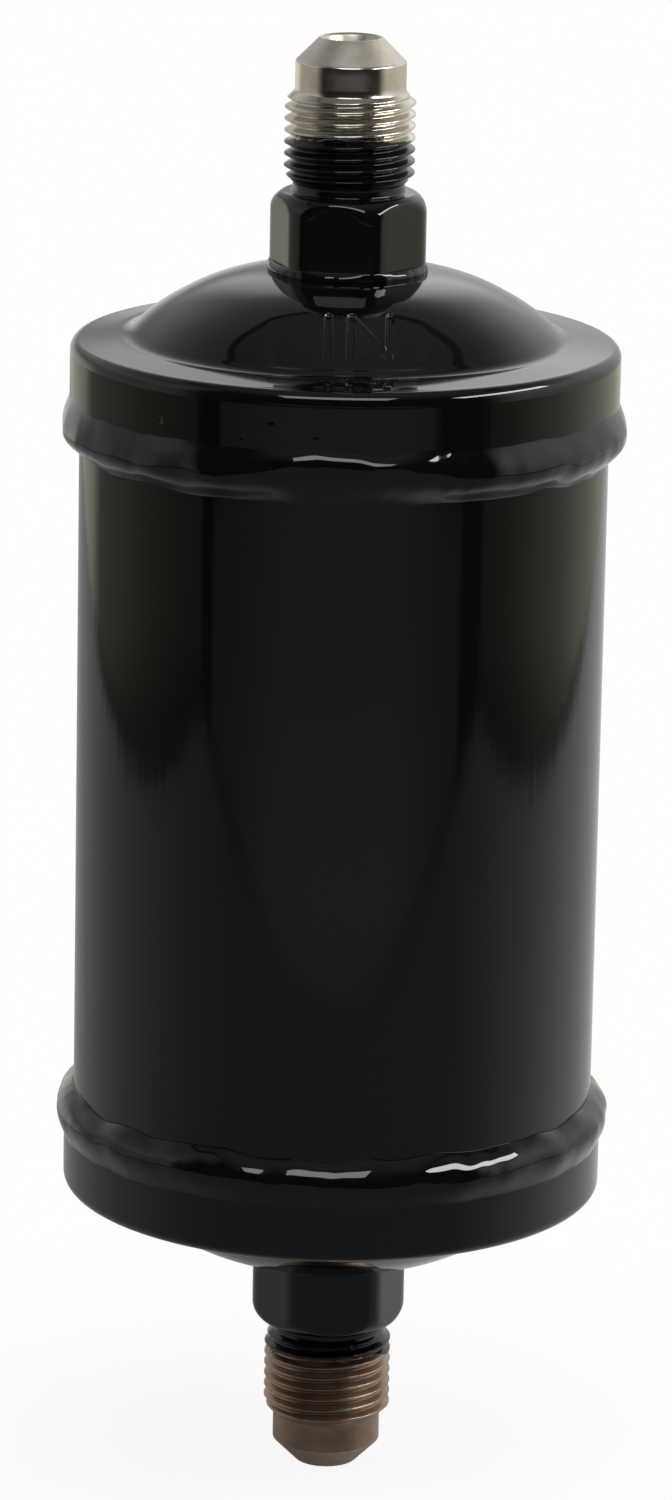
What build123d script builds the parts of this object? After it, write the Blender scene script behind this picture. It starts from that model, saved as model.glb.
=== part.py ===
from build123d import *
import os
from math import acos, atan, cos, degrees, radians, sin, tan

os.makedirs("parts", exist_ok=True)

# Filter drier for a refrigeration liquid line, with a moulded core and a male flare fitting at
# each end. Millimetres; the origin is the middle of the can on its axis, and +Z points to the inlet.

# Can
can_length = 106.8
shell_radius = 32.2
shell_wall = 1.2
skirt_gap = 0.05

# End caps
cap_wall = 1.15
skirt_length = 8.3
rim_corner = 1.7
rim_width = 6.85
dome_height = 8.6
plateau_radius = 8.0
valley_radius = 3.0

# Weld beads, from the edge of the cap's skirt
bead_on_cap = 2.4
bead_on_shell = 4.2
bead_height = 1.15

# Flare fittings, from the seat on the dome outwards
hexagon_flats = 17.46
hexagon_height = 9.65
hexagon_corner_cut = 0.55
hexagon_face_inset = 0.83
hexagon_crown_drop = 2.4
neck_cut = 1.14
neck_length = 2.0
thread_radius = 7.94
thread_length = 10.2
thread_chamfer = 0.9
nose_step = 1.24
nose_length = 3.5
tip_land = 0.6
bore_radius = 3.2
bore_chamfer = 0.35
inlet_turn = -10.3
outlet_turn = 5.7

# Inner end of each fitting, brazed into its cap
shank_radius = 6.4
shank_length = 3.0
shank_gap = 0.05
shank_wall = 1.6
counterbore_depth = 9.0
drill_point = 118.0
braze_leg = 1.1
braze_land = 0.15
braze_height = 1.1

# Outlet plate, screen, filter pad and the core's seat
plate_thickness = 0.9
pan_inset = 6.95
pan_depth = 4.2
pan_draft = 12.0
hole_radius = 1.5
hole_pitch = 4.6
hole_margin = 2.0
screen_thickness = 0.35
pad_clearance = 0.3
gasket_thickness = 1.5

# Moulded core
core_gap = 3.4
core_draft = 0.35
core_edge = 2.0
cavity_radius = 9.0
cavity_end_wall = 16.0
cavity_draft = 0.8

# Cushion pad, spring plate and spring
cushion_inset = 3.6
cushion_thickness = 2.0
spring_plate_thickness = 1.0
spring_plate_lobes = 6
lobe_gap = 0.3
scallop_radius = 9.0
scallop_depth = 6.5
wire_radius = 0.9
spring_height = 17.65
spring_turns = 4.25
spring_inset = 7.0
spring_shank_gap = 1.1
ridge_height = 1.4
ridge_width = 1.6
ridge_gap = 0.4
spring_dome_gap = 0.05

# Places along the axis
rim_top = can_length / 2
rim_inside = rim_top - cap_wall
skirt_edge = rim_top - skirt_length
dome_top = rim_top + dome_height
dome_inside = dome_top - cap_wall
cap_radius = shell_radius + skirt_gap + cap_wall
bore_of_shell = shell_radius - shell_wall
flange_top = plate_thickness - rim_inside
pan_floor = flange_top - plate_thickness - pan_depth
screen_seat = pan_floor + plate_thickness
pad_seat = screen_seat + screen_thickness
core_foot = flange_top + gasket_thickness
spring_head = dome_inside - spring_dome_gap
spring_foot = spring_head - spring_height
plate_seat = spring_foot - spring_plate_thickness
core_head = plate_seat - cushion_thickness
core_length = core_head - core_foot

# Radii that follow from a neighbour's
dome_radius = cap_radius - rim_width
crown_radius = ((dome_radius - plateau_radius) ** 2 / dome_height + dome_height) / 2
hexagon_turned_radius = hexagon_flats / 2 / cos(radians(30)) - hexagon_corner_cut
hexagon_face_radius = hexagon_flats / 2 - hexagon_face_inset
neck_radius = thread_radius - neck_cut
nose_radius = thread_radius - nose_step
tip_radius = bore_radius + tip_land
counterbore_radius = shank_radius - shank_wall
pan_radius = dome_radius - pan_inset
pan_slope = pan_depth * tan(radians(pan_draft))
pad_radius = pan_radius - plate_thickness - pan_slope - pad_clearance
hole_rings = int((pad_radius - hole_margin - hole_radius) / hole_pitch)
inside_corner = max(rim_corner - cap_wall, 0)
flange_radius = shell_radius - inside_corner - skirt_gap
core_radius = bore_of_shell - core_gap
cushion_radius = core_radius - cushion_inset
lobe_radius = bore_of_shell - lobe_gap
spring_large_radius = cushion_radius - spring_inset
spring_small_radius = shank_radius + spring_shank_gap + wire_radius


def turned(outline):
    """Solid of revolution about Z from a closed outline in radius and height."""
    return revolve(Plane.XZ * outline, Axis.Z)


def polygon(*points):
    return make_face(Polyline(*points, close=True))


def corner(outline, radius, height):
    return outline.vertices().sort_by_distance((radius, height, 0))[0]


def ring(outer, inner, bottom, top):
    return turned(polygon((inner, bottom), (outer, bottom), (outer, top), (inner, top)))


# Half section of a cap, drawn inset from its outer surface
def cap_section(inset):
    crown = crown_radius - inset
    rim = rim_top - inset
    side = cap_radius - inset
    slope = acos((crown_radius - dome_height - inset) / crown)
    foot = plateau_radius + crown * sin(slope)
    crown_arc = CenterArc((plateau_radius, dome_top - crown_radius), crown, 90, -degrees(slope))
    edge = Polyline((foot, rim), (side, rim), (side, skirt_edge), (0, skirt_edge),
                    (0, dome_top - inset), (plateau_radius, dome_top - inset))
    outline = make_face(crown_arc.edges() + edge.edges())
    outline = fillet(corner(outline, foot, rim), valley_radius + inset)
    if rim_corner > inset:
        outline = fillet(corner(outline, side, rim), rim_corner - inset)
    return outline


def end_cap():
    cup = turned(cap_section(0)) - turned(cap_section(cap_wall))
    return cup - Cylinder(shank_radius + shank_gap, 4 * dome_top)


def shell_tube():
    tube = ring(shell_radius, bore_of_shell, flange_top, rim_inside)
    ends = tube.edges().filter_by(GeomType.CIRCLE).group_by(SortBy.RADIUS)[-1]
    return chamfer(ends, inside_corner + skirt_gap)


# A convex bead across the skirt's edge, from toe to toe
def weld_bead():
    toe_on_cap = (cap_radius, skirt_edge + bead_on_cap)
    toe_on_shell = (shell_radius, skirt_edge - bead_on_shell)
    summit = (cap_radius + bead_height, (toe_on_cap[1] + toe_on_shell[1]) / 2)
    crown = ThreePointArc(toe_on_cap, summit, toe_on_shell)
    foot = Polyline(toe_on_shell, (shell_radius, skirt_edge), (cap_radius, skirt_edge), toe_on_cap)
    return turned(make_face(crown.edges() + foot.edges()))


def hexagon_bar(flats, height, taper=0):
    return extrude(RegularPolygon(flats / 2, 6, major_radius=False), height, taper=taper)


def flare_fitting():
    neck_top = hexagon_height + neck_length
    thread_top = neck_top + thread_length
    nose_top = thread_top + nose_length
    tip = nose_top + nose_radius - tip_radius
    lead = thread_radius - nose_radius
    turned_down = polygon(
        (0, -shank_length), (shank_radius, -shank_length), (shank_radius, 0), (neck_radius, 0),
        (neck_radius, neck_top - thread_chamfer),
        (thread_radius, neck_top + thread_radius - neck_radius - thread_chamfer),
        (thread_radius, thread_top - lead), (nose_radius, thread_top),
        (nose_radius, nose_top), (tip_radius, tip), (0, tip))
    side_top = hexagon_height - hexagon_crown_drop
    crown = TangentArc((hexagon_turned_radius, side_top), (hexagon_face_radius, hexagon_height),
                       tangent=(0, 1))
    sides = Polyline((hexagon_face_radius, hexagon_height), (0, hexagon_height), (0, 0),
                     (hexagon_turned_radius, 0), (hexagon_turned_radius, side_top))
    hexagon = hexagon_bar(hexagon_flats, hexagon_height) & turned(make_face(crown.edges() + sides.edges()))
    point = counterbore_radius / tan(radians(drill_point / 2))
    drill_end = counterbore_depth - shank_length
    bore = polygon(
        (0, -shank_length), (counterbore_radius, -shank_length), (counterbore_radius, drill_end),
        (0, drill_end + point))
    passage = polygon((0, -shank_length), (bore_radius, -shank_length), (bore_radius, tip - bore_chamfer),
                      (bore_radius + bore_chamfer, tip), (0, tip))
    return turned(turned_down) + hexagon - turned(bore) - turned(passage)


# Filler that follows the hexagon's foot, cut to the bar that stands in it
def braze_ring():
    slope = degrees(atan((braze_leg - braze_land) / braze_height))
    collar = hexagon_bar(hexagon_flats + 2 * braze_leg, braze_height, taper=slope)
    corners = polygon((0, 0), (hexagon_turned_radius + braze_leg, 0),
                      (hexagon_turned_radius + braze_land, braze_height), (0, braze_height))
    bar = hexagon_bar(hexagon_flats, braze_height)
    return (collar & turned(corners)) - (bar & Cylinder(hexagon_turned_radius, 4 * braze_height))


# Stamped plate: flange under the tube's end, pan in the hollow of the outlet dome, holes in its floor
def outlet_perforated_plate():
    wall = plate_thickness
    low = flange_top - wall
    plate = turned(polygon(
        (0, pan_floor), (pan_radius - pan_slope, pan_floor), (pan_radius, low), (flange_radius, low),
        (flange_radius, flange_top), (pan_radius - wall, flange_top),
        (pan_radius - pan_slope - wall, screen_seat), (0, screen_seat)))
    drill = Pos(0, 0, pan_floor) * Cylinder(hole_radius, 4 * wall)
    holes = [drill]
    for number in range(1, hole_rings + 1):
        for step in range(6 * number):
            holes.append(Rot(0, 0, 60 * step / number) * Pos(number * hole_pitch, 0, 0) * drill)
    return plate - holes


def outlet_wire_screen():
    return ring(pad_radius, 0, screen_seat, pad_seat)


def outlet_filter_pad():
    return ring(pad_radius, 0, pad_seat, core_foot)


def core_seat_gasket():
    return ring(core_radius, pad_radius + pad_clearance, flange_top, core_foot)


# Moulded block with draft, rounded ends and a blind cavity that opens at its foot
def desiccant_core():
    head_radius = core_radius - core_length * tan(radians(core_draft))
    block = turned(polygon((0, core_foot), (core_radius, core_foot), (head_radius, core_head), (0, core_head)))
    block = fillet(block.edges().filter_by(GeomType.CIRCLE), core_edge)
    depth = core_length - cavity_end_wall
    cavity_head = cavity_radius - depth * tan(radians(cavity_draft))
    cavity = turned(polygon((0, core_foot), (cavity_radius, core_foot),
                            (cavity_head, core_foot + depth), (0, core_foot + depth)))
    cavity = fillet(cavity.edges().filter_by(GeomType.CIRCLE).sort_by(Axis.Z)[-1], cavity_head / 2)
    return block - cavity


def core_cushion_pad():
    return ring(cushion_radius, 0, core_head, plate_seat)


# Plate whose lobes centre the core in the tube and whose ridge centres the spring
def spring_plate():
    start = spring_large_radius + wire_radius + ridge_gap
    under = [(0, 0), (start, 0), (start + ridge_height, ridge_height),
             (start + ridge_height + ridge_width, ridge_height),
             (start + 2 * ridge_height + ridge_width, 0), (lobe_radius, 0)]
    over = [(radius, height + spring_plate_thickness) for radius, height in reversed(under)]
    plate = Pos(0, 0, plate_seat) * turned(polygon(*under, *over))
    reach = lobe_radius + scallop_radius - scallop_depth
    scallop = Pos(reach, 0, plate_seat) * Cylinder(scallop_radius, 8 * spring_plate_thickness)
    turn = 360 / spring_plate_lobes
    return plate - [Rot(0, 0, turn * number) * scallop for number in range(spring_plate_lobes)]


# Conical spring with both ends ground flat
def hold_down_spring():
    rise = spring_head - spring_foot
    taper = degrees(atan((spring_small_radius - spring_large_radius) / rise))
    pitch = rise / spring_turns / cos(radians(taper))
    path = Helix(pitch, rise, spring_large_radius, center=(0, 0, spring_foot), cone_angle=taper)
    wire = sweep(Plane(path @ 0, z_dir=path % 0) * Circle(wire_radius), path, is_frenet=True)
    slab = Pos(0, 0, (spring_foot + spring_head) / 2) * Box(4 * bore_of_shell, 4 * bore_of_shell, rise)
    return wire & slab


def at_outlet(piece):
    return Rot(180, 0, 0) * piece


cap = end_cap()
bead = weld_bead()
fitting = Pos(0, 0, dome_top) * flare_fitting()
braze = Pos(0, 0, dome_top) * braze_ring()
inlet = Rot(0, 0, inlet_turn)
outlet = Rot(0, 0, outlet_turn)

nodes = {
    "shell_tube": shell_tube(),
    "inlet_end_cap": cap,
    "outlet_end_cap": at_outlet(cap),
    "inlet_weld_bead": bead,
    "outlet_weld_bead": at_outlet(bead),
    "inlet_flare_fitting": inlet * fitting,
    "outlet_flare_fitting": outlet * at_outlet(fitting),
    "inlet_braze_ring": inlet * braze,
    "outlet_braze_ring": outlet * at_outlet(braze),
    "hold_down_spring": hold_down_spring(),
    "spring_plate": spring_plate(),
    "core_cushion_pad": core_cushion_pad(),
    "desiccant_core": desiccant_core(),
    "core_seat_gasket": core_seat_gasket(),
    "outlet_filter_pad": outlet_filter_pad(),
    "outlet_wire_screen": outlet_wire_screen(),
    "outlet_perforated_plate": outlet_perforated_plate(),
}

for name, solid in nodes.items():
    export_step(solid, f"parts/{name}.step")
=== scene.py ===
import math
import bpy
import numpy as np
from mathutils import Matrix, Vector, noise


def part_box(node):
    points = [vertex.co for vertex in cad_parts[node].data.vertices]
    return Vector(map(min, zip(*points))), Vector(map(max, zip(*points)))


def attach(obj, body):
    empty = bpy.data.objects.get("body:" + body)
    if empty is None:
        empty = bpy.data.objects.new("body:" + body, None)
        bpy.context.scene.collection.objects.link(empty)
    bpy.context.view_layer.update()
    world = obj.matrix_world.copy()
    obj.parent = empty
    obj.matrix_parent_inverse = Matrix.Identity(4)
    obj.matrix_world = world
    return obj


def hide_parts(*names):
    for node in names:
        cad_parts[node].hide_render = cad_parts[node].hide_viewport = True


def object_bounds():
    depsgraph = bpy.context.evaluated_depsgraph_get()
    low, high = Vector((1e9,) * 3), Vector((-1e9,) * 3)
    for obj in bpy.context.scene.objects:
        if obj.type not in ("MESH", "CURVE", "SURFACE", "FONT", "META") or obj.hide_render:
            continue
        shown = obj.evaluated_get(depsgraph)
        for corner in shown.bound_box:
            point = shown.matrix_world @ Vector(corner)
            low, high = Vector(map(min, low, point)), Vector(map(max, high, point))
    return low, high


# Filter drier in black gloss paint, with a plated flare fitting at each end.
# Settings are in millimetres and degrees, and mm turns them into the scene's metres.
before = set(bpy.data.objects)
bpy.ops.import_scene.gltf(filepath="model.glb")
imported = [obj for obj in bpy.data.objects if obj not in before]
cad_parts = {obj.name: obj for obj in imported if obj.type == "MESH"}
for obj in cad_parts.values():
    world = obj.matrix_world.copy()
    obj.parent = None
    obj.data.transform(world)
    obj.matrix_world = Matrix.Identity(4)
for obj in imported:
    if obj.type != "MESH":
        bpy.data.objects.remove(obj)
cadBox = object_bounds()
mm = 0.001


# Radius, lowest and highest point of a round piece of the frame
def reach(node):
    low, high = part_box(node)
    return high.x / mm, low.z / mm, high.z / mm


tubeRadius, tubeBottom, tubeTop = reach("shell_tube")
capRadius, skirtEdge, domeTop = reach("inlet_end_cap")
beadRadius, beadBottom, beadTop = reach("inlet_weld_bead")


def deselect():
    bpy.ops.object.select_all(action="DESELECT")


def applyPlace(piece):
    deselect()
    piece.select_set(True)
    bpy.context.view_layer.objects.active = piece
    bpy.ops.object.transform_apply(location=True, rotation=True, scale=True)


# Half a section is drawn by pushing one point along, and is then spun round the can's axis
def turned(name, start, path, steps):
    deselect()
    bpy.ops.mesh.primitive_plane_add(size=mm, location=(start[0] * mm, 0, start[1] * mm))
    piece = bpy.context.object
    piece.name = name
    bpy.ops.object.mode_set(mode="EDIT")
    bpy.ops.mesh.merge(type="CENTER")
    at = Vector(start)
    for kind, *values in path:
        if kind == "line":
            r, z, pieces = values
            step = (Vector((r, z)) - at) / pieces
            for number in range(pieces):
                bpy.ops.mesh.extrude_region_move(
                    TRANSFORM_OT_translate={"value": (step.x * mm, 0, step.y * mm)})
            at = Vector((r, z))
        else:
            r, z, angle, pieces = values
            bpy.ops.mesh.spin(steps=pieces, angle=math.radians(angle), center=(r * mm, 0, z * mm),
                              axis=(0, 1, 0))
            at = Vector((r, z)) + Matrix.Rotation(math.radians(angle), 2) @ (at - Vector((r, z)))
    bpy.ops.object.mode_set(mode="OBJECT")
    applyPlace(piece)
    bpy.ops.object.mode_set(mode="EDIT")
    bpy.ops.mesh.select_all(action="SELECT")
    bpy.ops.mesh.spin(steps=steps, angle=math.radians(360), center=(0, 0, 0), axis=(0, 0, 1))
    bpy.ops.mesh.select_all(action="SELECT")
    bpy.ops.mesh.remove_doubles(threshold=mm / 1000)
    bpy.ops.mesh.normals_make_consistent(inside=False)
    bpy.ops.object.mode_set(mode="OBJECT")
    bpy.ops.object.shade_smooth()
    return piece


# Moves a piece's points by a rule on their radius, angle and height
def reshape(piece, rule):
    spots = np.zeros(len(piece.data.vertices) * 3)
    piece.data.vertices.foreach_get("co", spots)
    x, y, z = spots.reshape(-1, 3).T / mm
    radius, angle, height = rule(np.hypot(x, y), np.arctan2(y, x), z)
    moved = np.stack([radius * np.cos(angle), radius * np.sin(angle), height], axis=1) * mm
    piece.data.vertices.foreach_set("co", moved.ravel())
    piece.data.update()


def copied(piece, name):
    deselect()
    piece.select_set(True)
    bpy.context.view_layer.objects.active = piece
    bpy.ops.object.duplicate()
    bpy.context.object.name = name
    return bpy.context.object


# Smaller of two radii, with the ridge where they cross rounded over a width
def roundedLeast(a, b, width):
    overlap = np.maximum(width - np.abs(a - b), 0) / width
    return np.minimum(a, b) - overlap * overlap * width / 4


# Turns a piece that was made in its place at the inlet over to the outlet
def flipped(piece):
    piece.rotation_euler = (math.pi, 0, 0)
    applyPlace(piece)
    return piece


# Puts a piece that was made standing at the origin on its end of the can
def placed(piece, end, turn):
    piece.location = (0, 0, domeTop * mm if end == "inlet" else -domeTop * mm)
    piece.rotation_euler = (0 if end == "inlet" else math.pi, 0, math.radians(turn))
    applyPlace(piece)
    return piece


# Slow random wave round a ring, the same at both ends of the turn
def wander(angle, height, length, seed):
    spots = zip(np.cos(angle) * beadRadius / length, np.sin(angle) * beadRadius / length, height / length)
    return np.array([noise.noise(Vector((a, b, c + seed))) for a, b, c in spots])


can = {"wall": 1.15, "inside": 31.0, "edge": 0.6, "steps": 256}

tube = turned("can_tube", (can["inside"], tubeBottom), [
    ("line", tubeRadius - can["edge"], tubeBottom, 1),
    ("line", tubeRadius, tubeBottom + can["edge"], 1),
    ("line", tubeRadius, tubeTop - can["edge"], 40),
    ("line", tubeRadius - can["edge"], tubeTop, 1),
    ("line", can["inside"], tubeTop, 1),
    ("line", can["inside"], tubeBottom, 8)], can["steps"])
print("tube made")

cap = {"corner": 1.4, "valley": 3.0, "plateau": 8.0, "rimWidth": 6.85, "hole": 6.45, "steps": 288,
       "rimRise": 0.5, "riseFrom": 19.5}
rimTop = tubeTop + can["wall"]
crownHeight = domeTop - rimTop
crownReach = capRadius - cap["rimWidth"] - cap["plateau"]
crownRadius = (crownReach ** 2 / crownHeight + crownHeight) / 2
crownCentre = domeTop - crownRadius


# Sizes of a cap's section, drawn inset from its outer surface by a wall
def capSection(inset):
    crown = crownRadius - inset
    valley = cap["valley"] + inset
    low = rimTop - inset + valley
    slope = math.asin((low - crownCentre) / (crown + valley))
    valleyAt = cap["plateau"] + (crown + valley) * math.cos(slope)
    return low, valleyAt, 90 - math.degrees(slope), capRadius - inset, cap["corner"] - inset


def endCap(name):
    cornerCentre = rimTop - cap["corner"]
    low, valleyAt, bend, side, corner = capSection(can["wall"])
    inside = [("line", cap["plateau"], domeTop - can["wall"], 2),
              ("arc", cap["plateau"], crownCentre, -bend, 24),
              ("arc", valleyAt, low, bend, 8),
              ("line", side - corner, rimTop - can["wall"], 2),
              ("arc", side - corner, cornerCentre, -90, 6),
              ("line", side, skirtEdge, 2),
              ("line", capRadius, skirtEdge, 1)]
    low, valleyAt, bend, side, corner = capSection(0)
    outside = [("line", side, cornerCentre, 12),
               ("arc", side - corner, cornerCentre, 90, 12),
               ("line", valleyAt, rimTop, 6),
               ("arc", valleyAt, low, -bend, 12),
               ("arc", cap["plateau"], crownCentre, bend, 36),
               ("line", cap["hole"], domeTop, 3),
               ("line", cap["hole"], domeTop - can["wall"], 1)]
    piece = turned(name, (cap["hole"], domeTop - can["wall"]), inside + outside, cap["steps"])
    rimEdge = capRadius - cap["corner"]

    # The rim rises a little from its corner to the valley
    def rule(radius, angle, height):
        share = np.clip((radius - cap["riseFrom"]) / (valleyAt - cap["riseFrom"]), 0, 1)
        rise = share * share * (3 - 2 * share) * np.clip((rimEdge - radius) / (rimEdge - valleyAt), 0, 1)
        return radius, angle, height + cap["rimRise"] * rise

    reshape(piece, rule)
    return piece


inletCap = endCap("inlet_cap")
outletCap = flipped(copied(inletCap, "outlet_cap"))

# Flow mark pressed into the inlet's dome: strokes across the front, as places on the dome's surface
mark = {"from": -3.4, "to": 7.0, "low": 45.5, "high": 66.5, "cuts": 6, "half": 0.42, "edge": 0.17,
        "depth": 0.3, "margin": 2, "widest": 9, "skin": 0.1,
        "strokes": [((-2.1, 48.3), (-2.1, 65.0)), ((0.6, 48.3), (0.6, 65.0)),
                    ((0.6, 65.0), (5.2, 48.3)), ((5.2, 48.3), (5.2, 65.0))]}


# Distance of points from a stroke, all in millimetres over the surface
def strokeDistance(across, along, stroke):
    (ax, ay), (bx, by) = [(spot[0], math.radians(spot[1]) * crownRadius) for spot in stroke]
    dx, dy = bx - ax, by - ay
    share = np.clip(((across - ax) * dx + (along - ay) * dy) / (dx * dx + dy * dy), 0, 1)
    return np.hypot(across - ax - share * dx, along - ay - share * dy)


def pressMark(piece):
    deselect()
    piece.select_set(True)
    bpy.context.view_layer.objects.active = piece
    bpy.ops.object.mode_set(mode="EDIT")
    bpy.ops.mesh.select_mode(type="FACE")
    bpy.ops.mesh.select_all(action="DESELECT")
    bpy.ops.object.mode_set(mode="OBJECT")
    for face in piece.data.polygons:
        x, y, z = face.center / mm
        lean = math.degrees(math.atan2(z - crownCentre, math.hypot(x, y) - cap["plateau"]))
        onTop = face.normal.z > 0
        face.select = onTop and y < 0 and mark["from"] < x < mark["to"] and mark["low"] < lean < mark["high"]
    bpy.ops.object.mode_set(mode="EDIT")
    bpy.ops.mesh.subdivide(number_cuts=mark["cuts"])
    bpy.ops.mesh.select_mode(type="VERT")
    bpy.ops.object.mode_set(mode="OBJECT")

    def rule(radius, angle, height):
        lean = np.arctan2(height - crownCentre, radius - cap["plateau"])
        reachOut = np.hypot(height - crownCentre, radius - cap["plateau"])
        across, along = radius * np.cos(angle), lean * crownRadius
        near = np.min([strokeDistance(across, along, stroke) for stroke in mark["strokes"]], axis=0)
        wall = np.clip((mark["half"] + mark["edge"] - near) / (2 * mark["edge"]), 0, 1)
        leaning = np.degrees(lean)
        onDome = (reachOut > crownRadius - mark["skin"]) & (np.sin(angle) < 0)
        onDome &= (leaning > mark["low"] - mark["margin"]) & (leaning < mark["high"] + mark["margin"])
        onDome &= np.abs(across) < mark["widest"]
        fresh = crownRadius - mark["depth"] * wall * wall * (3 - 2 * wall)
        radius = np.where(onDome, cap["plateau"] + fresh * np.cos(lean), radius)
        height = np.where(onDome, crownCentre + fresh * np.sin(lean), height)
        return radius, angle, height

    reshape(piece, rule)


pressMark(inletCap)
print("caps made")

# Weld beads: a smooth crown that wanders a little, with soft ripples under the paint
bead = {"steps": 540, "rows": 34, "buried": 0.2, "tucked": 0.3, "toeWander": 0.6, "toeLumps": 0.2,
        "heightWander": 0.34, "heightSink": 0.4, "lumps": 0.12, "lumpSink": 0.3,
        "ripple": 0.012, "rippleSpacing": 3.4, "rippleBow": 1.1, "rippleWander": 0.7,
        "frontFrom": 0.9, "frontOver": 0.085, "shiftPower": 1.5}
# Each bead's own run. Pairs give the value round the can, then at its front; a lump is its angle,
# width and height
beads = {"inlet": {"seed": 3.0, "spread": 1.4, "drop": 0.9, "crest": (0.66, 0.42), "capToe": (1.5, 0.9),
                   "tubeToe": 1.4, "lumps": [(-12, 9, 0.14), (193, 10, 0.16)]},
         "outlet": {"seed": 40.0, "spread": 0.5, "drop": 0, "crest": (0.64, 0.64), "capToe": (1.6, 1.6),
                    "tubeToe": 0.8, "lumps": [(172, 8, 0.16), (18, 3, 0.12)]}}


def weldBead(end):
    own = beads[end]
    low = beadBottom - own["spread"]
    toeGap = capRadius - tubeRadius
    capSide, tubeSide = capRadius - bead["buried"], tubeRadius - bead["buried"]
    hidden = [("line", tubeSide, skirtEdge - bead["tucked"], 2), ("line", capSide, skirtEdge, 2),
              ("line", capSide, beadTop, 2)]
    piece = turned(end + "_bead", (capSide, beadTop),
                   [("line", tubeSide, low, bead["rows"])] + hidden, bead["steps"])

    def rule(radius, angle, height):
        def wave(length, shift, along=0):
            return wander(angle, height * along, length, own["seed"] + shift)

        # A pair's value at each angle
        def toFront(pair):
            return pair[0] + (pair[1] - pair[0]) * front

        share = (beadTop - height) / (beadTop - low)
        ground = capSide - share * toeGap
        crown = np.abs(radius - ground) < 0.02
        toes = bead["toeWander"] * wave(9, 0) + bead["toeLumps"] * wave(3.6, 41)
        lower = bead["toeWander"] * wave(7, 5) + bead["toeLumps"] * wave(4.2, 47)
        tall = bead["heightWander"] * (wave(6, 11, 1) - bead["heightSink"])
        tall += bead["lumps"] * (wave(3.2, 31, 1) - bead["lumpSink"])
        front = np.clip((-np.sin(angle) - bead["frontFrom"]) / bead["frontOver"], 0, 1)
        top = toFront(own["crest"])
        above = np.sin(np.clip(share / top, 0, 1) * math.pi / 2)
        below = np.sin(np.clip((1 - share) / (1 - top), 0, 1) * math.pi / 2)
        arch = above ** toFront(own["capToe"]) * below ** own["tubeToe"]
        bow = bead["rippleBow"] * (2 * share - 1) ** 2 + bead["rippleWander"] * wave(5, 23)
        beat = np.cos(2 * math.pi * (angle * beadRadius / bead["rippleSpacing"] + bow))
        proud = beadRadius - capRadius + toeGap / 2 + bead["buried"]
        rise = (proud + tall + bead["ripple"] * beat * arch) * arch
        for middle, width, extra in own["lumps"]:
            off = (np.degrees(angle) - middle + 180) % 360 - 180
            rise = rise + extra * np.exp(-(off / width) ** 2) * arch
        fresh = np.minimum(ground + rise, beadRadius - 0.01)
        toeShift = np.where(share < 0.5, toes - own["drop"] * front, lower)
        shifted = height + toeShift * np.abs(2 * share - 1) ** bead["shiftPower"]
        return np.where(crown, fresh, radius), angle, np.where(crown, shifted, height)

    reshape(piece, rule)
    return piece


inletBead = weldBead("inlet")
outletBead = flipped(weldBead("outlet"))
print("beads made")

# Flare fittings, drawn from the seat on the dome outwards
fitting = {"flats": 17.46, "cornerCut": 0.55, "faceInset": 0.83, "height": 9.65, "crownDrop": 2.4,
           "hexRound": 0.45, "ridgeRound": 0.35, "neck": 6.8, "neckTop": 11.65, "neckFillet": 0.25,
           "shank": 6.4, "shankEnd": -3.0, "counterbore": 4.8, "drillEnd": 6.0, "bore": 3.2,
           "thread": 7.94, "threadTop": 21.85, "chamfer": 0.9, "nose": 6.7, "noseTop": 25.35, "tip": 3.8,
           "edge": 0.3, "boreChamfer": 0.35, "steps": 312, "pitch": 25.4 / 18, "crest": 0.09, "root": 0.87,
           "flank": 60, "crestRound": 0.06, "rootRound": 0.1}
turns = {"inlet": -10.3, "outlet": 5.7}
barCorner = fitting["flats"] / 2 / math.cos(math.radians(30)) - fitting["cornerCut"]


# Outline of the hexagon bar with rounded corners, as a radius at each angle
def hexagonRadius(angle):
    face = fitting["flats"] / 2
    off = np.abs((angle % math.radians(60)) - math.radians(30))
    inner = face - fitting["hexRound"]
    bend = math.atan2(inner * math.tan(math.radians(30)), face)
    centre = inner / math.cos(math.radians(30))
    away = math.radians(30) - off
    rounded = centre * np.cos(away) + np.sqrt(
        np.maximum(fitting["hexRound"] ** 2 - (centre * np.sin(away)) ** 2, 0))
    return np.where(off < bend, face / np.cos(off), rounded)


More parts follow.
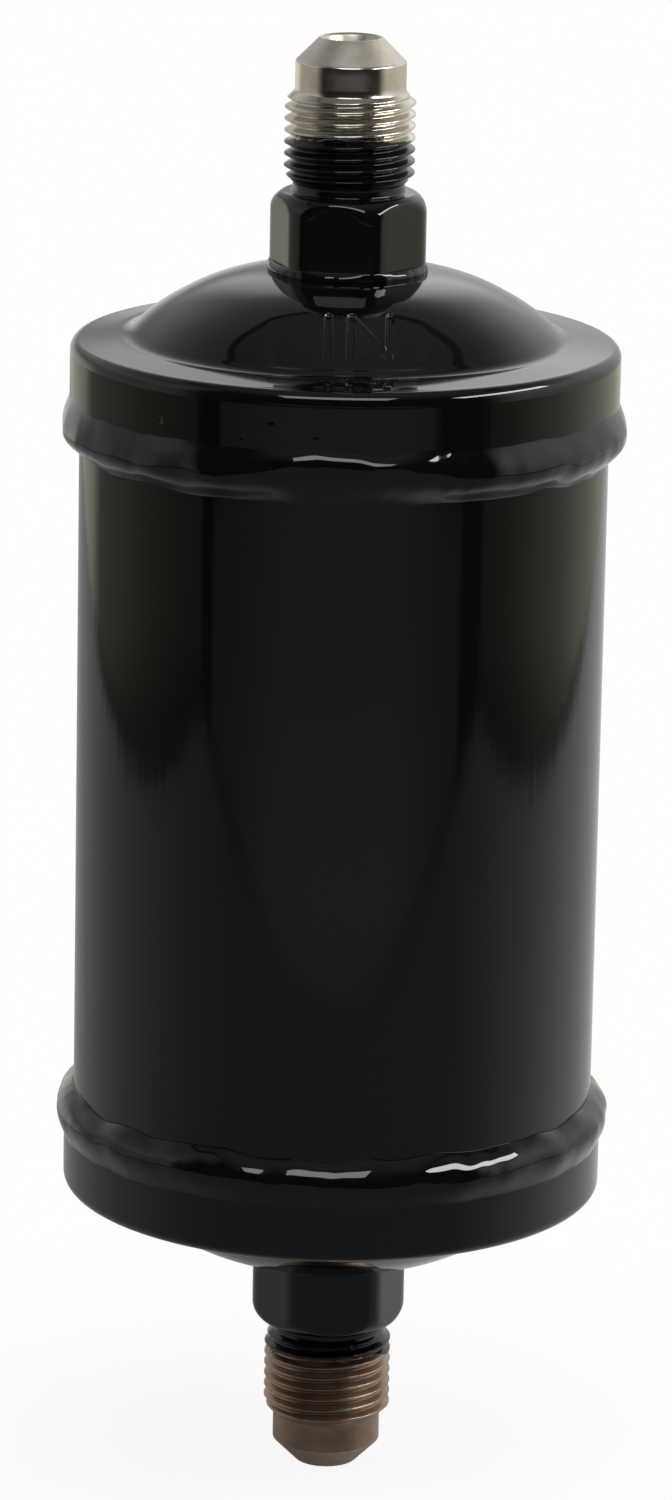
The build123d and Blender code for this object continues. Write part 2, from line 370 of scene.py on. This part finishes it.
def flareFitting(name):
    f = fitting
    crownFace = f["flats"] / 2 - f["faceInset"]
    inset = barCorner - crownFace
    crown = (inset ** 2 + f["crownDrop"] ** 2) / (2 * inset)
    sideTop = f["height"] - f["crownDrop"]
    crownTurn = math.degrees(math.asin(f["crownDrop"] / crown))
    tipTop = f["noseTop"] + f["nose"] - f["tip"]
    drill = (f["counterbore"] - f["bore"]) / math.tan(math.radians(59))
    threadStart = f["neckTop"] - f["chamfer"]
    threadFull = threadStart + f["thread"] - f["neck"]
    threadEnd = f["threadTop"] - (f["thread"] - f["nose"])
    cut = f["edge"] * math.tan(math.radians(22.5))
    cutIn = cut * math.cos(math.radians(45))
    path = [
        ("line", f["counterbore"], f["drillEnd"], 1),
        ("line", f["counterbore"], f["shankEnd"], 2),
        ("line", f["shank"], f["shankEnd"], 1),
        ("line", f["shank"], 0, 1),
        ("line", barCorner, 0, 3),
        ("line", barCorner, sideTop, 12),
        ("arc", barCorner - crown, sideTop, crownTurn, 16),
        ("line", f["neck"] + f["neckFillet"], f["height"], 3),
        ("arc", f["neck"] + f["neckFillet"], f["height"] + f["neckFillet"], -90, 4),
        ("line", f["neck"], threadStart, 3),
        ("line", f["thread"], threadFull, 12),
        ("line", f["thread"], threadEnd, 112),
        ("line", f["nose"], f["threadTop"], 14),
        ("line", f["nose"], f["noseTop"] - cut, 4),
        ("arc", f["nose"] - f["edge"], f["noseTop"] - cut, 45, 4),
        ("line", f["tip"] + cutIn, tipTop - cutIn, 6),
        ("arc", f["tip"] - cut, tipTop - f["edge"], 45, 4),
        ("line", f["bore"] + f["boreChamfer"], tipTop, 1),
        ("line", f["bore"], tipTop - f["boreChamfer"], 2),
        ("line", f["bore"], f["drillEnd"] + drill, 6)]
    piece = turned(name, (f["bore"], f["drillEnd"] + drill), path, f["steps"])

    def rule(radius, angle, height):
        hexagon = (height > -0.01) & (height < f["height"] + 0.01) & (radius > f["shank"] + 0.05)
        radius = np.where(hexagon, roundedLeast(radius, hexagonRadius(angle), f["ridgeRound"]), radius)
        phase = (height / f["pitch"] - angle / (2 * math.pi)) % 1
        aside = np.abs(phase - 0.5) * f["pitch"] - f["crest"]
        slope, soften = math.tan(math.radians(f["flank"])), f["crestRound"]
        groove = np.clip(aside * slope, 0, f["root"])
        eased = np.maximum(aside + soften, 0) ** 2 / (4 * soften) * slope
        groove = np.where(aside < soften, eased, groove)
        threaded = (height > threadStart - 0.01) & (height < f["threadTop"] + 0.01)
        threaded &= radius > f["bore"] + 1.5
        ridge = roundedLeast(radius, f["thread"] - np.minimum(groove, f["root"]), f["rootRound"])
        return np.where(threaded, ridge, radius), angle, height

    reshape(piece, rule)
    return piece


inletFitting = flareFitting("inlet_fitting")
outletFitting = placed(copied(inletFitting, "outlet_fitting"), "outlet", turns["outlet"])
placed(inletFitting, "inlet", turns["inlet"])
print("fittings made")

# Braze fillet round the foot of a hexagon
braze = {"foot": 9.75, "land": 0.05, "low": -0.12, "height": 1.15, "rows": 16, "steps": 240,
         "wander": 0.16, "inside": 1.6}


def brazeRing(end, seed):
    inner = fitting["shank"] + braze["inside"]
    piece = turned(end + "_braze", (inner, braze["low"]), [
        ("line", inner + 1, braze["low"], 1), ("line", inner + 1, braze["height"], braze["rows"]),
        ("line", inner, braze["height"], 1), ("line", inner, braze["low"], 2)], braze["steps"])

    def rule(radius, angle, height):
        outline = roundedLeast(np.full_like(radius, barCorner), hexagonRadius(angle), fitting["ridgeRound"])
        share = np.clip(height / braze["height"], 0, 1)
        bulge = np.sqrt(1 - share ** 2) * (0.86 + 0.14 * np.sin(share * math.pi))
        foot = braze["foot"] + braze["wander"] * wander(angle, height * 0, 4, seed)
        foot = np.maximum(foot, outline + 0.1)
        outer = outline + braze["land"] + (foot - outline - braze["land"]) * bulge
        return np.where(radius > inner + 0.5, outer, outline - 0.15), angle, height

    reshape(piece, rule)
    return placed(piece, end, turns[end])


inletBraze = brazeRing("inlet", 60.0)
outletBraze = brazeRing("outlet", 70.0)
print("braze made")


# One shader socket, so that sums on sockets read as plain sums
class Wire:
    def __init__(self, board, socket):
        self.board = board
        self.socket = socket

    def __add__(self, other):
        return self.board.math("ADD", self, other)

    def __sub__(self, other):
        return self.board.math("SUBTRACT", self, other)

    def __rsub__(self, other):
        return self.board.math("SUBTRACT", other, self)

    def __mul__(self, other):
        return self.board.math("MULTIPLY", self, other)

    def __truediv__(self, other):
        return self.board.math("DIVIDE", self, other)

    __radd__ = __add__
    __rmul__ = __mul__


# A node tree, with one way to add any node: its type, its settings, then its sockets
class Board:
    def __init__(self, tree):
        self.tree = tree
        tree.nodes.clear()

    def add(self, kind, settings=None, output=0, **sockets):
        node = self.tree.nodes.new("ShaderNode" + kind)
        for name, value in (settings or {}).items():
            setattr(node, name, value)
        for name, value in sockets.items():
            key = int(name[1:]) if name[0] == "n" and name[1:].isdigit() else name.replace("_", " ")
            self.feed(node.inputs[key], value)
        return Wire(self, node.outputs[output]) if node.outputs else None

    def feed(self, socket, value):
        if isinstance(value, Wire):
            self.tree.links.new(value.socket, socket)
        else:
            socket.default_value = value

    def math(self, operation, *terms):
        named = {f"n{number}": term for number, term in enumerate(terms)}
        return self.add("Math", {"operation": operation}, **named)

    # 0 below low, 1 above high, smooth between
    def step(self, value, low, high):
        return self.add("MapRange", {"interpolation_type": "SMOOTHSTEP"}, Value=value, From_Min=low,
                        From_Max=high)

    def blend(self, factor, first, second):
        return self.add("Mix", {"data_type": "RGBA"}, 2, Factor=factor, n6=first, n7=second)

    def noise(self, place, size, detail=2.0, rough=0.5):
        return self.add("TexNoise", Vector=place, Scale=1 / (size * mm), Detail=detail, Roughness=rough)


def material(name):
    made = bpy.data.materials.new(name)
    made.use_nodes = True
    return made, Board(made.node_tree)


def rgb(*values):
    return (*values, 1)


def finishSurface(board, **sockets):
    surface = board.add("BsdfPrincipled", **sockets)
    board.add("OutputMaterial", Surface=surface)


paint = {"colour": rgb(0.0025, 0.0025, 0.0024), "rough": 0.03, "roughMore": 0.03,
         "roughSize": 14.0, "waveSize": 9.0, "wave": 0.006, "peelSize": 1.6, "peel": 0.0008,
         "dustSize": 0.35, "dust": rgb(0.008, 0.0077, 0.007), "pitDepth": 0.07,
         "pits": [(-21.6, -25.4, 48.2, 0.5), (-8.6, -32.3, 49.7, 0.5),
                  (-11.9, -31.2, 47.6, 0.35), (-3.3, -33.2, 48.2, 0.4)]}


# Height of the paint's skin in metres: slow waves, a fine orange peel and a few pits in the skirt,
# each given by its place and size
def paintSkin(board, place):
    wave = board.noise(place, paint["waveSize"], 1.0)
    peel = board.noise(place, paint["peelSize"], 2.0)
    skin = wave * paint["wave"] + peel * paint["peel"]
    for x, y, z, size in paint["pits"]:
        spot = (x * mm, y * mm, z * mm)
        away = board.add("VectorMath", {"operation": "DISTANCE"}, 1, n0=place, n1=spot) / mm
        skin = skin + board.step(away, 0.2 * size, size) * paint["pitDepth"]
    return skin * mm


def paintRough(board, place):
    cloud = board.noise(place, paint["roughSize"], 3.0)
    return cloud * paint["roughMore"] + paint["rough"]


def blackPaint():
    made, board = material("black_gloss_paint")
    place = board.add("TexCoord", output=3)
    normal = board.add("Bump", Height=paintSkin(board, place), Distance=1.0, Strength=1.0)
    dust = board.noise(place, paint["dustSize"], 2.0)
    colour = board.blend(board.step(dust, 0.7, 0.8), paint["colour"], paint["dust"])
    finishSurface(board, Base_Color=colour, Roughness=paintRough(board, place), Normal=normal)
    return made


# The paint's edge on a fitting is its distance from the can's middle, signed by its end
plating = {"tilt": 1.1, "edgeWaves": 0.9, "edgeSoft": 0.06, "paintStep": 0.03, "turningMarks": 0.0016,
           "turningPitch": 11.0, "waveSize": 1.6, "stainSize": 5.0, "stainRough": 0.12,
           "coneFrom": 87.3, "coneTo": 87.7, "coneRough": 0.26}


# Plated metal towards the tip and paint towards the can, with a worn edge between them
def paintedFitting(name, edge, light, dark, rough):
    made, board = material(name)
    place = board.add("TexCoord", output=3)
    parts = board.add("SeparateXYZ", Vector=place)
    y, z = [Wire(board, parts.socket.node.outputs[name]) for name in "YZ"]
    wavy = board.noise(place, plating["waveSize"], 3.0) - 0.5
    height = board.math("ABSOLUTE", z) / mm
    side = 1 if edge > 0 else -1
    tilted = height + y * (side * plating["tilt"] / fitting["thread"] / mm)
    bare = board.step(tilted + wavy * plating["edgeWaves"] - abs(edge), -plating["edgeSoft"],
                      plating["edgeSoft"])
    stain = board.noise(place, plating["stainSize"], 4.0, 0.6)
    turning = board.add("TexNoise", {"noise_dimensions": "1D"}, W=height * plating["turningPitch"],
                        Scale=1.0, Detail=3.0)
    metal = board.blend(board.step(stain, 0.35, 0.7), dark, light)
    colour = board.blend(bare, paint["colour"], metal)
    cone = board.step(height, plating["coneFrom"], plating["coneTo"]) * plating["coneRough"]
    roughness = paintRough(board, place) * (1 - bare) + (stain * plating["stainRough"] + rough + cone) * bare
    skin = paintSkin(board, place) * (1 - bare) + turning * plating["turningMarks"] * mm * bare
    ledge = (1 - bare) * plating["paintStep"] * mm
    normal = board.add("Bump", Height=skin + ledge, Distance=1.0, Strength=1.0)
    finishSurface(board, Base_Color=colour, Roughness=roughness, Metallic=bare, Normal=normal)
    return made


# Plain inner finishes: a colour that varies, a grain and a roughness
def innerFinish(name, light, dark, size, rough, grain, metallic):
    made, board = material(name)
    place = board.add("TexCoord", output=3)
    cloud = board.noise(place, size, 4.0, 0.6)
    fine = board.noise(place, size / 8, 3.0)
    colour = board.blend(board.step(cloud, 0.3, 0.7), dark, light)
    normal = board.add("Bump", Height=fine * grain * mm, Distance=1.0, Strength=1.0)
    finishSurface(board, Base_Color=colour, Roughness=fine * 0.2 + rough, Metallic=metallic, Normal=normal)
    return made


blackFinish = blackPaint()
inletFinish = paintedFitting("inlet_nickel", 77.8, rgb(0.76, 0.71, 0.62), rgb(0.62, 0.57, 0.48), 0.1)
# The outlet's plating is a darker, browner copy of the inlet's nickel rather than a different metal. Its
# colours are painted shade from the can above it and a painted brown reflection of the table.
outletShadedCopyFinish = paintedFitting("outlet_plating_painted_shade", -75.8, rgb(0.46, 0.335, 0.255),
                              rgb(0.33, 0.235, 0.17), 0.28)
finishes = {
    "inner_steel": innerFinish("inner_steel", rgb(0.5, 0.5, 0.51), rgb(0.4, 0.4, 0.41), 6.0, 0.3, 0.01, 1.0),
    "felt": innerFinish("felt", rgb(0.58, 0.53, 0.45), rgb(0.46, 0.41, 0.34), 1.6, 0.75, 0.12, 0.0),
    "filter_fibre": innerFinish("filter_fibre", rgb(0.82, 0.81, 0.72), rgb(0.7, 0.69, 0.6), 1.4,
                                0.75, 0.12, 0.0),
    "moulded_desiccant": innerFinish("moulded_desiccant", rgb(0.64, 0.54, 0.43), rgb(0.52, 0.43, 0.34), 3.0,
                                     0.75, 0.08, 0.0)}


def dress(piece, finish, slot, node):
    piece.data.materials.clear()
    piece.data.materials.append(finish)
    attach(piece, "root")
    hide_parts(node)


dress(tube, blackFinish, "black_paint", "shell_tube")
for end, capPiece, beadPiece, brazePiece, fittingPiece, finish in (
        ("inlet", inletCap, inletBead, inletBraze, inletFitting, inletFinish),
        ("outlet", outletCap, outletBead, outletBraze, outletFitting, outletShadedCopyFinish)):
    dress(capPiece, blackFinish, "black_paint", end + "_end_cap")
    dress(beadPiece, blackFinish, "black_paint", end + "_weld_bead")
    dress(brazePiece, blackFinish, "black_paint", end + "_braze_ring")
    dress(fittingPiece, finish, end + "_plating", end + "_flare_fitting")

inner = {"hold_down_spring": "inner_steel", "spring_plate": "inner_steel",
         "outlet_wire_screen": "inner_steel", "outlet_perforated_plate": "inner_steel",
         "core_cushion_pad": "felt", "core_seat_gasket": "felt",
         "outlet_filter_pad": "filter_fibre", "desiccant_core": "moulded_desiccant"}
for name, slot in inner.items():
    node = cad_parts[name]
    node.data.materials.clear()
    node.data.materials.append(finishes[slot])
print("finishes made")

# Pale floor under the lower tip: it keeps the shadow near the object and fades into white
floor = {"radius": 260.0, "fadeFrom": 30.0, "fadeTo": 130.0, "gap": 0.05, "colour": 0.95, "mirrored": 0.26,
         "paler": 0.7}


def makeFloor():
    deselect()
    low = cadBox[0][2] - floor["gap"] * mm
    bpy.ops.mesh.primitive_circle_add(vertices=96, radius=floor["radius"] * mm, fill_type="NGON",
                                      location=(0, 0, low))
    disc = bpy.context.object
    disc.name = "floor"
    applyPlace(disc)
    made, board = material("pale_floor")
    place = board.add("TexCoord", output=3)
    away = board.add("VectorMath", {"operation": "LENGTH"}, 1, n0=place) / mm
    camera = board.add("LightPath")
    glossy = Wire(board, camera.socket.node.outputs["Is Glossy Ray"])
    grain = board.noise(place, 3.0) * 0.02
    tone = board.math("MULTIPLY", 1 - glossy, floor["colour"] - floor["mirrored"]) + floor["mirrored"] - grain
    lit = board.add("BsdfDiffuse", Color=board.add("CombineColor", Red=tone, Green=tone, Blue=tone))
    white = board.add("Emission", Color=rgb(1, 1, 1), Strength=1.0)
    clear = board.add("BsdfTransparent")
    seen = Wire(board, camera.socket.node.outputs["Is Camera Ray"])
    outside = board.add("MixShader", n0=seen, n1=clear, n2=white)
    paler = board.add("MixShader", n0=seen * floor["paler"], n1=lit, n2=white)
    fade = board.step(away, floor["fadeFrom"], floor["fadeTo"])
    board.add("OutputMaterial", Surface=board.add("MixShader", n0=fade, n1=paler, n2=outside))
    disc.data.materials.append(made)


makeFloor()
print("floor made")

# Soft boxes that the gloss shows: one over the camera and a long one at the right
lamps = {"overhead_softbox": {"azimuth": -4, "elevation": 54, "distance": 700, "width": 440, "height": 230,
                              "watts": 1.35, "colour": (0.93, 0.97, 1.0)},
         "side_softbox": {"azimuth": 76, "elevation": 38, "distance": 700, "width": 520, "height": 120,
                          "watts": 2.6, "colour": (1.0, 0.99, 0.97)}}


def makeLamp(name):
    own = lamps[name]
    deselect()
    turn, climb = math.radians(own["azimuth"]), math.radians(own["elevation"])
    way = Vector((math.sin(turn) * math.cos(climb), -math.cos(turn) * math.cos(climb), math.sin(climb)))
    bpy.ops.object.light_add(type="AREA", location=way * own["distance"] * mm,
                             rotation=(math.pi / 2 - climb, 0, turn))
    lamp = bpy.context.object
    lamp.name = name
    lamp.data.shape = "RECTANGLE"
    lamp.data.size = own["width"] * mm
    lamp.data.size_y = own["height"] * mm
    lamp.data.energy = own["watts"]
    lamp.data.color = own["colour"]


for name in lamps:
    makeLamp(name)
print("lamps made")

# The room that the gloss shows. A place in it is in degrees, round from the front and up from level;
# two numbers are where something begins and where it is full, four where it also begins to end and ends
room = {"dull": 0.45, "olive": 0.17, "oliveAside": (58.0, 66.0), "oliveTop": (-8.0, -5.0)}
# A table whose edge bows up towards the sides, with a dark line along it
table = {"front": -16.7, "frontBow": 0.00072, "side": -14.6, "sideAt": 88.0, "sideBow": 0.001,
         "backBow": 0.00055, "turn": 8.0, "join": 1.0, "soft": (-0.05, 0.15), "tone": 0.17,
         "rightTone": 0.5, "leftTone": 0.22,
         "brighter": (45.0, 128.0), "ragged": 0.5, "raggedSize": 14.0, "raggedAside": (50.0, 60.0),
         "line": (0.05, 0.3), "lineDark": 0.5, "lineFront": 0.6, "lineAside": (30.0, 60.0),
         "lineEnd": (128.0, 145.0)}
# Walls behind the table: a dark front with a paler middle, then a niche, a post and a pale side
walls = {"tone": 0.02, "front": 0.09, "frontEnd": (55.5, 59.0), "rightShift": 4.5, "middle": 0.07,
         "middleEnd": (20.0, 52.0), "nearTable": 0.35, "nearTableTop": (-15.8, -13.0),
         "niche": 0.09, "nicheFrom": (61.5, 64.5), "right": 0.48, "rightFrom": (62.0, 135.0),
         "lift": 0.35, "liftFrom": (-13.0, -10.0), "left": 0.42, "leftNear": 0.3, "leftFrom": (62.0, 115.0),
         "leftFarFrom": (129.0, 142.0), "rightPost": (36.0, 42.0, 57.0, 61.0),
         "leftPost": (51.0, 54.0, 60.0, 63.0), "postFoot": (-12.4, -11.9), "deep": 0.55,
         "deepTop": (-14.3, -13.3), "deepAside": (58.0, 63.0)}
# Above them, each side swells to a glow, fades to a dark gap and ends in a ceiling
high = {"from": (-10.55, -10.4), "aside": (58.0, 80.0), "ceilingOver": (57.0, 90.0), "ceilingRise": 0.06,
        "left": {"tone": 0.385, "glow": 0.175, "swell": (10.0, 24.0), "loss": 0.32, "fade": (22.0, 54.0),
                 "gap": (54.5, 55.7), "dark": 0.04, "ceiling": 0.11, "ceilingFrom": (57.2, 57.8)},
        "right": {"tone": 0.58, "glow": 0.32, "swell": (-12.0, 22.0), "loss": 0.7, "fade": (23.0, 52.0),
                  "gap": (54.6, 56.0), "dark": 0.05, "ceiling": 0.12, "ceilingFrom": (58.3, 59.0)},
        "front": {"tone": 0.015, "low": 0.08, "lowTo": (-12.0, -10.0), "high": 0.185,
                  "highFrom": (36.0, 80.0)},
        "backdrop": 0.6, "backdropAside": (160.0, 173.0), "backdropUp": (8.0, 18.0, 32.0, 42.0),
        "behindLeft": 0.4, "behindLeftFrom": (122.0, 138.0), "behindLeftTop": (0.0, 12.0),
        "strip": 0.55, "stripUp": (-9.17, -9.1, -8.95, -8.85), "stripAside": (24.0, 42.0)}


# The room: white for the camera, an even light for dull surfaces, and for gloss the walls and table
def makeRoom():
    world = bpy.data.worlds.new("room")
    bpy.context.scene.world = world
    world.use_nodes = True
    board = Board(world.node_tree)
    way = board.add("TexCoord", output=0)
    parts = board.add("SeparateXYZ", Vector=way)
    x, y, z = [Wire(board, socket) for socket in parts.socket.node.outputs]
    climb = board.math("ARCSINE", z) * (180 / math.pi)
    swing = board.math("ARCTAN2", x, y * -1.0) * (180 / math.pi)
    aside, toLeft = board.math("ABSOLUTE", swing), swing * -1.0

    def rises(value, place):
        return board.step(value, *place)

    def ends(value, place):
        return 1 - board.step(value, *place)

    def within(value, place):
        return rises(value, place[:2]) * ends(value, place[2:])

    def sideWall(own):
        lit = rises(climb, own["swell"]) * own["glow"] - rises(climb, own["fade"]) * own["loss"]
        ceiling = rises(climb, high["ceilingOver"]) * high["ceilingRise"] + own["ceiling"]
        over = ceiling * rises(climb, own["ceilingFrom"]) + own["dark"]
        inGap = rises(climb, own["gap"])
        return (lit + own["tone"]) * (1 - inGap) + over * inGap

    def frontWall(own):
        low = ends(climb, own["lowTo"]) * own["low"]
        return low + rises(climb, own["highFrom"]) * own["high"] + own["tone"]

    right = rises(swing, walls["rightFrom"]) * (rises(climb, walls["liftFrom"]) * walls["lift"] + 1)
    left = rises(toLeft, walls["leftFrom"]) * walls["leftNear"] + rises(toLeft, walls["leftFarFrom"])
    onRight = rises(swing, (0.0, 1.0))
    front = ends(aside + onRight * walls["rightShift"], walls["frontEnd"]) * walls["front"]
    front = front + ends(aside, walls["middleEnd"]) * walls["middle"]
    front = front * (ends(climb, walls["nearTableTop"]) * walls["nearTable"] + 1)
    niche = rises(aside, walls["nicheFrom"]) * walls["niche"]
    post = within(swing, walls["rightPost"]) + within(toLeft, walls["leftPost"])
    post = post * rises(climb, walls["postFoot"])
    deep = ends(climb, walls["deepTop"]) * rises(aside, walls["deepAside"]) * walls["deep"]
    behind = front + niche + right * walls["right"] + left * walls["left"] + walls["tone"]
    behind = behind * (1 - post) * (1 - deep)

    beside = rises(aside, high["aside"])
    over = sideWall(high["left"]) * (1 - onRight) + sideWall(high["right"]) * onRight
    over = over * beside + frontWall(high["front"]) * (1 - beside)
    backdrop = rises(aside, high["backdropAside"]) * within(climb, high["backdropUp"])
    behindLeft = rises(toLeft, high["behindLeftFrom"]) * ends(climb, high["behindLeftTop"])
    strip = within(climb, high["stripUp"]) * ends(aside, high["stripAside"])
    over = over + backdrop * high["backdrop"] + behindLeft * high["behindLeft"] + strip * high["strip"]
    above = rises(climb, high["from"])
    upper = behind * (1 - above) + over * above

    ragged = board.noise(way, table["raggedSize"], 3.0) - 0.5
    ragged = ragged * rises(aside, table["raggedAside"]) * table["ragged"]
    past = aside - table["sideAt"]
    toBack = rises(past, (-table["turn"], table["turn"]))
    bow = toBack * (table["backBow"] - table["sideBow"]) + table["sideBow"]
    edge = board.math("SMOOTH_MIN", aside * aside * table["frontBow"] + table["front"],
                      past * past * bow + table["side"], table["join"]) + ragged
    onTable = rises(edge - climb, table["soft"])
    tableTone = rises(swing, table["brighter"]) * table["rightTone"] + table["tone"]
    tableTone = tableTone + rises(toLeft, table["brighter"]) * table["leftTone"]
    line = ends(board.math("ABSOLUTE", edge - climb), table["line"]) * ends(aside, table["lineEnd"])
    line = line * (rises(aside, table["lineAside"]) * (1 - table["lineFront"]) + table["lineFront"])
    seen = (upper * (1 - onTable) + tableTone * onTable) * (1 - line * table["lineDark"])

    light = board.add("LightPath")
    glossy = Wire(board, light.socket.node.outputs["Is Glossy Ray"])
    camera = Wire(board, light.socket.node.outputs["Is Camera Ray"])
    tone = glossy * seen
    plain = camera + (1 - glossy - camera) * room["dull"]
    olive = (1 - onTable) * rises(aside, room["oliveAside"]) * ends(climb, room["oliveTop"]) * room["olive"]
    even, blue = tone + plain, tone * (1 - olive) + plain
    colour = board.add("CombineColor", Red=even, Green=even, Blue=blue)
    board.add("OutputWorld", Surface=board.add("Background", Color=colour, Strength=1.0))


makeRoom()
print("room made")

# The photograph's view: its focal length in pixels, and where the can's middle falls in the frame
view = {"tall": 1500, "focal": 6658, "distance": 820.0, "elevation": 14.58, "roll": 1.07,
        "right": 2.0, "down": 16.0, "sensor": 36.0}


def makeCamera():
    deselect()
    climb = math.radians(view["elevation"])
    bpy.ops.object.camera_add(
        location=(0, -view["distance"] * math.cos(climb) * mm, view["distance"] * math.sin(climb) * mm))
    camera = bpy.context.object
    look = Matrix.Rotation(math.pi / 2 - climb, 4, "X") @ Matrix.Rotation(math.radians(view["roll"]), 4, "Z")
    camera.rotation_euler = look.to_euler()
    camera.data.sensor_width = view["sensor"]
    camera.data.lens = view["focal"] * view["sensor"] / view["tall"]
    camera.data.shift_x = -view["right"] / view["tall"]
    camera.data.shift_y = view["down"] / view["tall"]
    camera.data.clip_start = 0.01
    bpy.context.scene.camera = camera


makeCamera()
print("camera made")
bpy.context.scene.view_settings.view_transform = "Standard"
